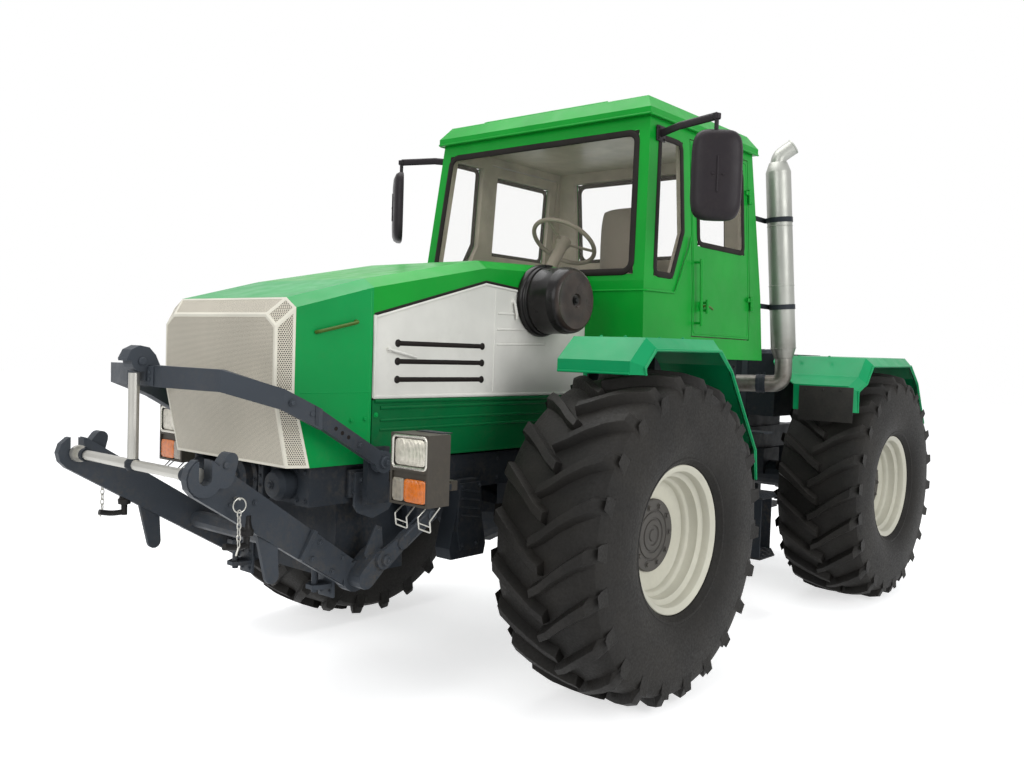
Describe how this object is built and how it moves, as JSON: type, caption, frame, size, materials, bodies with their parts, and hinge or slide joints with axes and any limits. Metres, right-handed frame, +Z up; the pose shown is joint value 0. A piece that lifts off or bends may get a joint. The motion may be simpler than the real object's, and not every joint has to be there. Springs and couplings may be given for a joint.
{
  "type": "articulated four-wheel-drive farm tractor",
  "caption": "Articulated farm tractor: two half-frames hinged in the middle, equal large wheels, cab, sloped hood and a raised front three-point linkage.",
  "frame": {"origin": "on the floor, under the middle of the overall length and width", "axes": "+Z up, -Y towards the tractor's front, +X to the tractor's left side"},
  "size_m": [2.73, 6.108, 3.074],
  "materials": {
    "green": "satin",
    "nose_green": "satin",
    "white": "satin",
    "cream": "satin",
    "iron": "matte",
    "rubber": "matte",
    "black": "satin",
    "pipe": "satin",
    "glass": "clear",
    "trim": "matte",
    "rim": "satin",
    "steel": "satin"
  },
  "bodies": {
    "front_half": {"grille": "cream", "nose_hood": "nose_green", "engine_hood": "green", "side_panel_left": "white", "lower_panel_left": "green", "side_panel_right": "white", "lower_panel_right": "green", "front_frame": "iron", "front_axle": "iron", "engine_block": "iron", "cab_shell": "green", "cab_roof": "green", "windscreen": "glass", "rear_window": "glass", "quarter_window_left": "glass", "quarter_window_right": "glass", "seat": "trim", "dashboard": "trim", "steering_wheel": "black", "air_cleaner": "black", "exhaust": "pipe", "front_fender_left": "green", "headlight_left": "black", "mirror_left": "black", "steps_left": "iron", "front_fender_right": "green", "headlight_right": "black", "mirror_right": "black", "steps_right": "iron"},
    "rear_half": {"rear_frame": "iron", "rear_axle": "iron", "fuel_tank": "iron", "rear_fender_left": "green", "rear_fender_right": "green"},
    "wheel_front_left": {"tyre_front_left": "rubber", "rim_front_left": "rim"},
    "wheel_front_right": {"tyre_front_right": "rubber", "rim_front_right": "rim"},
    "wheel_rear_left": {"tyre_rear_left": "rubber", "rim_rear_left": "rim"},
    "wheel_rear_right": {"tyre_rear_right": "rubber", "rim_rear_right": "rim"},
    "door_body_left": {"door_left": "green", "door_glass_left": "glass"},
    "door_body_right": {"door_right": "green", "door_glass_right": "glass"},
    "lower_links": {"front_lower_links": "iron"},
    "upper_yoke": {"front_upper_yoke": "iron"},
    "link_bar": {"front_bar": "steel"},
    "rear_links": {"rear_lower_links": "iron"},
    "lift_barrel": {"rear_lift_barrel": "iron"},
    "lift_rod": {"rear_lift_rod": "steel"},
    "stay_plates_left": {"front_stay_plates_left": "iron"},
    "stay_tongue_left": {"front_stay_tongue_left": "steel"},
    "ram_barrel_left": {"steering_barrel_left": "iron"},
    "ram_rod_left": {"steering_rod_left": "steel"},
    "stay_plates_right": {"front_stay_plates_right": "iron"},
    "stay_tongue_right": {"front_stay_tongue_right": "steel"},
    "ram_barrel_right": {"steering_barrel_right": "iron"},
    "ram_rod_right": {"steering_rod_right": "steel"}
  },
  "joints": [
    {"name": "steer", "type": "hinge", "parent": "front_half", "child": "rear_half", "pos_m": [0, 0.434, 0.8], "axis": [0, 0, 1], "range_deg": [-30, 30]},
    {"name": "roll_front_left", "type": "hinge", "parent": "front_half", "child": "wheel_front_left", "pos_m": [1.07, -0.996, 0.795], "axis": [1, 0, 0], "continuous": true},
    {"name": "roll_front_right", "type": "hinge", "parent": "front_half", "child": "wheel_front_right", "pos_m": [-1.07, -0.996, 0.795], "axis": [1, 0, 0], "continuous": true},
    {"name": "roll_rear_left", "type": "hinge", "parent": "rear_half", "child": "wheel_rear_left", "pos_m": [1.07, 1.864, 0.795], "axis": [1, 0, 0], "continuous": true},
    {"name": "roll_rear_right", "type": "hinge", "parent": "rear_half", "child": "wheel_rear_right", "pos_m": [-1.07, 1.864, 0.795], "axis": [1, 0, 0], "continuous": true},
    {"name": "door_hinge_left", "type": "hinge", "parent": "front_half", "child": "door_body_left", "pos_m": [0.842, 0.557, 2.05], "axis": [-0.0655, 0, 0.9978], "range_deg": [0, 85]},
    {"name": "door_hinge_right", "type": "hinge", "parent": "front_half", "child": "door_body_right", "pos_m": [-0.842, 0.557, 2.05], "axis": [0.0655, 0, 0.9978], "range_deg": [-85, 0]},
    {"name": "front_lift", "type": "hinge", "parent": "front_half", "child": "lower_links", "pos_m": [0, -2.186, 0.657], "axis": [1, 0, 0], "range_deg": [0, 50]},
    {"name": "yoke_swing", "type": "hinge", "parent": "front_half", "child": "upper_yoke", "pos_m": [0, -2.166, 1.167], "axis": [1, 0, 0], "range_deg": [0, 50]},
    {"name": "bar_swing", "type": "hinge", "parent": "lower_links", "child": "link_bar", "pos_m": [0, -2.979, 1.157], "axis": [1, 0, 0], "range_deg": [-61, 0]},
    {"name": "stay_swing_left", "type": "hinge", "parent": "front_half", "child": "stay_plates_left", "pos_m": [0.5, -1.841, 0.898], "axis": [1, 0, 0], "range_deg": [-12, 0]},
    {"name": "stay_slide_left", "type": "slide", "parent": "stay_plates_left", "child": "stay_tongue_left", "axis": [0, -0.8442, -0.536], "range_m": [0, 0.0615]},
    {"name": "stay_swing_right", "type": "hinge", "parent": "front_half", "child": "stay_plates_right", "pos_m": [-0.5, -1.841, 0.898], "axis": [1, 0, 0], "range_deg": [-12, 0]},
    {"name": "stay_slide_right", "type": "slide", "parent": "stay_plates_right", "child": "stay_tongue_right", "axis": [0, -0.8442, -0.536], "range_m": [0, 0.0615]},
    {"name": "ram_swing_left", "type": "hinge", "parent": "front_half", "child": "ram_barrel_left", "pos_m": [0.3, -0.046, 0.8], "axis": [0, 0, 1], "range_deg": [-15.5, 15.5]},
    {"name": "ram_slide_left", "type": "slide", "parent": "ram_barrel_left", "child": "ram_rod_left", "axis": [0, 1, 0], "range_m": [-0.16, 0.16]},
    {"name": "ram_swing_right", "type": "hinge", "parent": "front_half", "child": "ram_barrel_right", "pos_m": [-0.3, -0.046, 0.8], "axis": [0, 0, 1], "range_deg": [-15.5, 15.5]},
    {"name": "ram_slide_right", "type": "slide", "parent": "ram_barrel_right", "child": "ram_rod_right", "axis": [0, 1, 0], "range_m": [-0.16, 0.16]},
    {"name": "rear_lift", "type": "hinge", "parent": "rear_half", "child": "rear_links", "pos_m": [0, 2.354, 0.68], "axis": [1, 0, 0], "range_deg": [-20, 25]},
    {"name": "lift_swing", "type": "hinge", "parent": "rear_half", "child": "lift_barrel", "pos_m": [0, 2.534, 1.28], "axis": [1, 0, 0], "range_deg": [-2, 2]},
    {"name": "lift_slide", "type": "slide", "parent": "lift_barrel", "child": "lift_rod", "axis": [0, 0.3003, -0.9538], "range_m": [-0.151, 0.121]}
  ],
  "couplings": [
    {"joint": "yoke_swing", "follows": "front_lift", "ratio": 1},
    {"joint": "bar_swing", "follows": "front_lift", "ratio": -1.22},
    {"joint": "stay_swing_left", "follows": "front_lift", "ratio": -0.236},
    {"joint": "stay_slide_left", "follows": "front_lift", "m_per_rad": 0.0702},
    {"joint": "stay_swing_right", "follows": "front_lift", "ratio": -0.236},
    {"joint": "stay_slide_right", "follows": "front_lift", "m_per_rad": 0.0702},
    {"joint": "ram_swing_left", "follows": "steer", "ratio": 0.5},
    {"joint": "ram_slide_left", "follows": "steer", "m_per_rad": 0.3},
    {"joint": "ram_swing_right", "follows": "steer", "ratio": 0.5},
    {"joint": "ram_slide_right", "follows": "steer", "m_per_rad": -0.3},
    {"joint": "lift_swing", "follows": "rear_lift", "ratio": 0.06},
    {"joint": "lift_slide", "follows": "rear_lift", "m_per_rad": -0.345}
  ]
}
